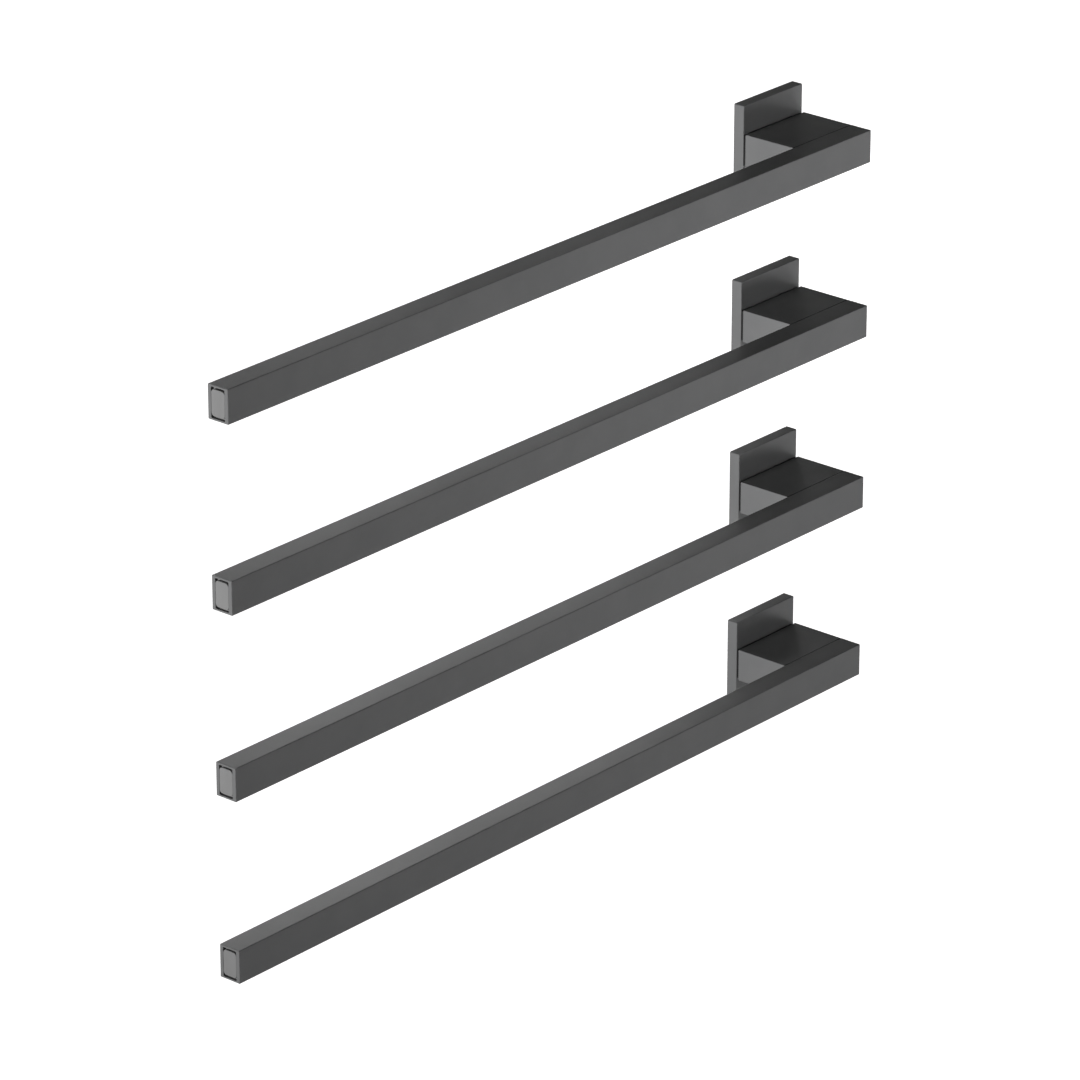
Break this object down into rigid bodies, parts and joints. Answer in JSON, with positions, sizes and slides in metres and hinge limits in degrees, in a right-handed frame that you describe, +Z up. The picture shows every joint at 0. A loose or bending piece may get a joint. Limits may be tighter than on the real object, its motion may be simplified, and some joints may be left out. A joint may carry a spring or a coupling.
{
  "type": "heated towel rail",
  "caption": "Wall-mounted set of one-sided heated towel rails: slim rectangular bars, each carried by a block arm on a square wall plate at its right end.",
  "frame": {"origin": "centre of the lowest wall bracket's back face, on the wall plane", "axes": "+X along the bars from their free ends to the arms, +Y into the wall, +Z up"},
  "size_m": [0.6, 0.0645, 0.42],
  "materials": {
    "coated_metal": "satin",
    "plug_plastic": "satin",
    "gasket_rubber": "matte",
    "plated_steel": "satin",
    "black_steel": "satin",
    "sheath_steel": "satin",
    "spreader_aluminium": "satin",
    "cutout_plastic": "satin",
    "lead_silicone": "satin",
    "terminal_nylon": "satin",
    "tinned_brass": "satin",
    "bare_brass": "satin"
  },
  "bodies": {
    "root": {"rail_tube_1": "coated_metal", "rail_tube_2": "coated_metal", "rail_tube_3": "coated_metal", "rail_tube_4": "coated_metal", "arm_housing_1": "coated_metal", "arm_housing_2": "coated_metal", "arm_housing_3": "coated_metal", "arm_housing_4": "coated_metal", "cover_plate_1": "coated_metal", "cover_plate_2": "coated_metal", "cover_plate_3": "coated_metal", "cover_plate_4": "coated_metal", "wall_bracket_1": "plated_steel", "wall_bracket_2": "plated_steel", "wall_bracket_3": "plated_steel", "wall_bracket_4": "plated_steel", "gap_gasket_1": "gasket_rubber", "gap_gasket_2": "gasket_rubber", "gap_gasket_3": "gasket_rubber", "gap_gasket_4": "gasket_rubber", "nut_plate_1": "plated_steel", "nut_plate_2": "plated_steel", "nut_plate_3": "plated_steel", "nut_plate_4": "plated_steel", "heating_element_1": "sheath_steel", "heating_element_2": "sheath_steel", "heating_element_3": "sheath_steel", "heating_element_4": "sheath_steel", "thermal_cutout_1": "cutout_plastic", "thermal_cutout_2": "cutout_plastic", "thermal_cutout_3": "cutout_plastic", "thermal_cutout_4": "cutout_plastic", "internal_leads_1": "lead_silicone", "internal_leads_2": "lead_silicone", "internal_leads_3": "lead_silicone", "internal_leads_4": "lead_silicone", "terminal_block_1": "terminal_nylon", "terminal_block_2": "terminal_nylon", "terminal_block_3": "terminal_nylon", "terminal_block_4": "terminal_nylon", "free_end_plug_1": "plug_plastic", "free_end_plug_2": "plug_plastic", "free_end_plug_3": "plug_plastic", "free_end_plug_4": "plug_plastic", "arm_end_plug_1": "plug_plastic", "arm_end_plug_2": "plug_plastic", "arm_end_plug_3": "plug_plastic", "arm_end_plug_4": "plug_plastic", "element_spacers": "spreader_aluminium", "lock_screws": "black_steel", "arm_screws": "plated_steel", "lead_bushes": "terminal_nylon", "cable_grommets": "gasket_rubber", "earth_tags": "tinned_brass", "terminal_inserts": "bare_brass", "terminal_screws": "plated_steel"}
  },
  "joints": []
}
